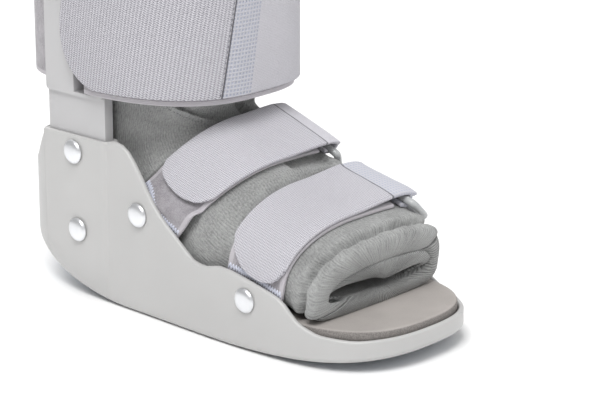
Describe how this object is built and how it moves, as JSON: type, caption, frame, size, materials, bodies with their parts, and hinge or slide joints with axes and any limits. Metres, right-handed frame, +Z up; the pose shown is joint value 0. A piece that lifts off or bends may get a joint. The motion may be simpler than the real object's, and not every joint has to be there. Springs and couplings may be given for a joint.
{
  "type": "medical walking boot",
  "caption": "Short walking boot for an injured foot: rigid rocker shell with side struts, padded open-toe liner, hook and loop straps with rings, and rivets.",
  "frame": {"origin": "middle of the flat part of the sole, on the ground", "axes": "+Z up, -Y towards the toe, -X towards the side where the straps close"},
  "size_m": [0.1237, 0.28, 0.262],
  "materials": {
    "shell_plastic": "satin",
    "strut_plastic": "satin",
    "outsole_rubber": "matte",
    "insole_foam": "matte",
    "liner_fleece": "plush",
    "strap_webbing": "woven loop",
    "strap_pile": "fuzzy pile",
    "ring_plastic": "gloss",
    "rivet_steel": "polished"
  },
  "bodies": {
    "root": {"shell": "shell_plastic", "outsole": "outsole_rubber", "insole_foam": "insole_foam", "strut_near": "strut_plastic", "strut_far": "strut_plastic", "liner": "liner_fleece", "foot_flap": "liner_fleece", "leg_flap": "liner_fleece", "toe_strap_base": "strap_pile", "toe_strap": "strap_webbing", "toe_ring": "ring_plastic", "toe_ring_anchor": "strap_webbing", "instep_strap_base": "strap_pile", "instep_strap": "strap_webbing", "instep_ring": "ring_plastic", "instep_ring_anchor": "strap_webbing", "calf_strap_base": "strap_pile", "calf_strap": "strap_webbing", "rivet_upper_strut_near": "rivet_steel", "rivet_upper_strut_far": "rivet_steel", "rivet_lower_strut_near": "rivet_steel", "rivet_lower_strut_far": "rivet_steel", "rivet_instep_near": "rivet_steel", "rivet_instep_far": "rivet_steel", "rivet_toe_near": "rivet_steel", "rivet_toe_far": "rivet_steel"}
  },
  "joints": []
}
